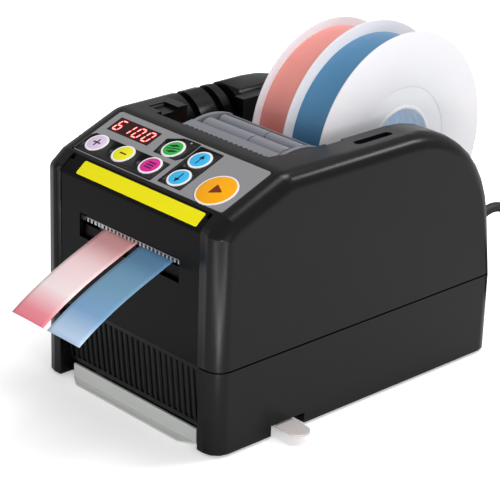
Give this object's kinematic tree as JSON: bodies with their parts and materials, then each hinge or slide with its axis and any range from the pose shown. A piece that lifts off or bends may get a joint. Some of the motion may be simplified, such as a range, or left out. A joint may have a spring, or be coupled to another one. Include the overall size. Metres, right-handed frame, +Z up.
{
  "type": "electric tape dispenser",
  "caption": "Desktop machine that feeds ribbon or tape from two spools, cuts it to length and hands it out at the front, with a key panel and a mains lead",
  "frame": {"origin": "on the table, midway between the housings' sides and between their front and rear", "axes": "+X to the machine's right as seen from its front, +Y to the rear, +Z up"},
  "size_m": [0.243, 0.4256, 0.186],
  "materials": {
    "housing_black": "semi-gloss moulded",
    "cover_black": "gloss moulded",
    "bare_steel": "brushed",
    "plate_steel": "zinc plated",
    "blade_steel": "ground",
    "screw_zinc": "zinc plated",
    "rubber_black": "matte",
    "roller_rubber": "matte",
    "overlay_grey": "satin printed film",
    "strip_yellow": "printed film",
    "window_red": "tinted clear",
    "electronics_dark": "matte",
    "circuit_green": "lacquered board",
    "key_lilac": "gloss",
    "key_yellow": "gloss",
    "key_magenta": "gloss",
    "key_green": "gloss",
    "key_blue": "gloss",
    "key_orange": "gloss",
    "frame_grey": "satin",
    "gear_white": "natural",
    "bronze": "machined",
    "motor_steel": "plated can",
    "spool_white": "translucent white",
    "ribbon_pink": "satin ribbon",
    "ribbon_blue": "satin ribbon",
    "ribbon_satin": "satin ribbon",
    "switch_red": "gloss",
    "cord_black": "soft vinyl"
  },
  "bodies": {
    "machine": {"upper_housing": "housing_black", "lower_housing": "housing_black", "front_cover": "cover_black", "front_grille": "cover_black", "base_plate": "bare_steel", "rubber_feet": "rubber_black", "housing_screws": "screw_zinc", "panel_overlay": "overlay_grey", "yellow_strip": "strip_yellow", "display_window": "window_red", "digit_display": "electronics_dark", "status_led": "window_red", "key_board": "circuit_green", "key_board_screws": "screw_zinc", "chassis_left": "plate_steel", "chassis_right": "plate_steel", "feed_bushes": "bronze", "feed_motor": "motor_steel", "frame_pins": "bare_steel", "chute": "plate_steel", "cutter_bracket": "plate_steel", "fixed_blade": "blade_steel", "blade_guides": "plate_steel", "cutter_motor": "motor_steel", "comb_guard": "blade_steel", "ribbon_strips": "ribbon_satin", "ribbon_webs": "ribbon_satin", "reel_spindle": "bare_steel", "control_board": "circuit_green", "power_supply": "plate_steel", "lever_pivot": "screw_zinc", "switch_bezel": "cover_black", "cord_gland": "cord_black", "cord_free": "cord_black", "cord_coil": "cord_black", "cord_tail": "cord_black", "mains_plug": "cord_black"},
    "plus_key": {"key_plus": "key_lilac"},
    "minus_key": {"key_minus": "key_yellow"},
    "select_key": {"key_select": "key_magenta"},
    "mode_key": {"key_mode": "key_green"},
    "up_key": {"key_up": "key_blue"},
    "down_key": {"key_down": "key_blue"},
    "start_key": {"key_start": "key_orange"},
    "feed": {"feed_roller": "roller_rubber", "feed_shaft": "bare_steel", "feed_gear": "gear_white"},
    "pinion": {"motor_pinion": "bronze"},
    "press_frame": {"roller_frame": "frame_grey", "roller_axles": "bare_steel"},
    "press": {"press_roller": "frame_grey"},
    "guide": {"guide_roller": "frame_grey"},
    "crank": {"cutter_crank": "bronze"},
    "blade": {"moving_blade": "blade_steel"},
    "left_reel": {"spool_left": "spool_white", "winding_left": "ribbon_pink"},
    "right_reel": {"spool_right": "spool_white", "winding_right": "ribbon_blue"},
    "lever": {"latch_lever": "bare_steel"},
    "rocker": {"switch_rocker": "switch_red"}
  },
  "joints": [
    {"name": "plus_press", "type": "slide", "parent": "machine", "child": "plus_key", "axis": [0, 0.3665, -0.9304], "range_m": [0, 0.0005], "stiffness_N_per_m": 400},
    {"name": "minus_press", "type": "slide", "parent": "machine", "child": "minus_key", "axis": [0, 0.3665, -0.9304], "range_m": [0, 0.0005], "stiffness_N_per_m": 400},
    {"name": "select_press", "type": "slide", "parent": "machine", "child": "select_key", "axis": [0, 0.3665, -0.9304], "range_m": [0, 0.0005], "stiffness_N_per_m": 400},
    {"name": "mode_press", "type": "slide", "parent": "machine", "child": "mode_key", "axis": [0, 0.3665, -0.9304], "range_m": [0, 0.0005], "stiffness_N_per_m": 400},
    {"name": "up_press", "type": "slide", "parent": "machine", "child": "up_key", "axis": [0, 0.3665, -0.9304], "range_m": [0, 0.0005], "stiffness_N_per_m": 400},
    {"name": "down_press", "type": "slide", "parent": "machine", "child": "down_key", "axis": [0, 0.3665, -0.9304], "range_m": [0, 0.0005], "stiffness_N_per_m": 400},
    {"name": "start_press", "type": "slide", "parent": "machine", "child": "start_key", "axis": [0, 0.3665, -0.9304], "range_m": [0, 0.0005], "stiffness_N_per_m": 400},
    {"name": "feed_turn", "type": "hinge", "parent": "machine", "child": "feed", "pos_m": [0, -0.031, 0.11931], "axis": [1, 0, 0], "continuous": true},
    {"name": "pinion_turn", "type": "hinge", "parent": "machine", "child": "pinion", "pos_m": [0.0486, -0.04755, 0.10543], "axis": [1, 0, 0], "continuous": true},
    {"name": "frame_lift", "type": "hinge", "parent": "machine", "child": "press_frame", "pos_m": [0.008, -0.042, 0.1365], "axis": [1, 0, 0], "range_deg": [0, 75]},
    {"name": "press_turn", "type": "hinge", "parent": "press_frame", "child": "press", "pos_m": [0.008, -0.031, 0.13651], "axis": [1, 0, 0], "continuous": true},
    {"name": "guide_turn", "type": "hinge", "parent": "press_frame", "child": "guide", "pos_m": [0.008, -0.0201, 0.13841], "axis": [1, 0, 0], "continuous": true},
    {"name": "crank_turn", "type": "hinge", "parent": "machine", "child": "crank", "pos_m": [0.002, -0.0916, 0.066], "axis": [0, 1, 0], "range_deg": [0, 70]},
    {"name": "blade_slide", "type": "slide", "parent": "machine", "child": "blade", "axis": [0, 0, -1], "range_m": [0, 0.00688]},
    {"name": "left_reel_turn", "type": "hinge", "parent": "machine", "child": "left_reel", "pos_m": [-0.0104, 0.061, 0.122], "axis": [1, 0, 0], "continuous": true},
    {"name": "right_reel_turn", "type": "hinge", "parent": "machine", "child": "right_reel", "pos_m": [0.0184, 0.061, 0.122], "axis": [1, 0, 0], "continuous": true},
    {"name": "lever_swing", "type": "hinge", "parent": "machine", "child": "lever", "pos_m": [0.052, -0.056, 0.0054], "axis": [0, 0, 1], "range_deg": [0, 18]},
    {"name": "rocker_tilt", "type": "hinge", "parent": "machine", "child": "rocker", "pos_m": [-0.038, 0.1035, 0.026], "axis": [1, 0, 0], "range_deg": [-20, 0]}
  ],
  "couplings": [
    {"joint": "pinion_turn", "follows": "feed_turn", "ratio": -2.3077},
    {"joint": "press_turn", "follows": "feed_turn", "ratio": -1.5385},
    {"joint": "crank_turn", "follows": "blade_slide", "rad_per_m": 177.5}
  ]
}
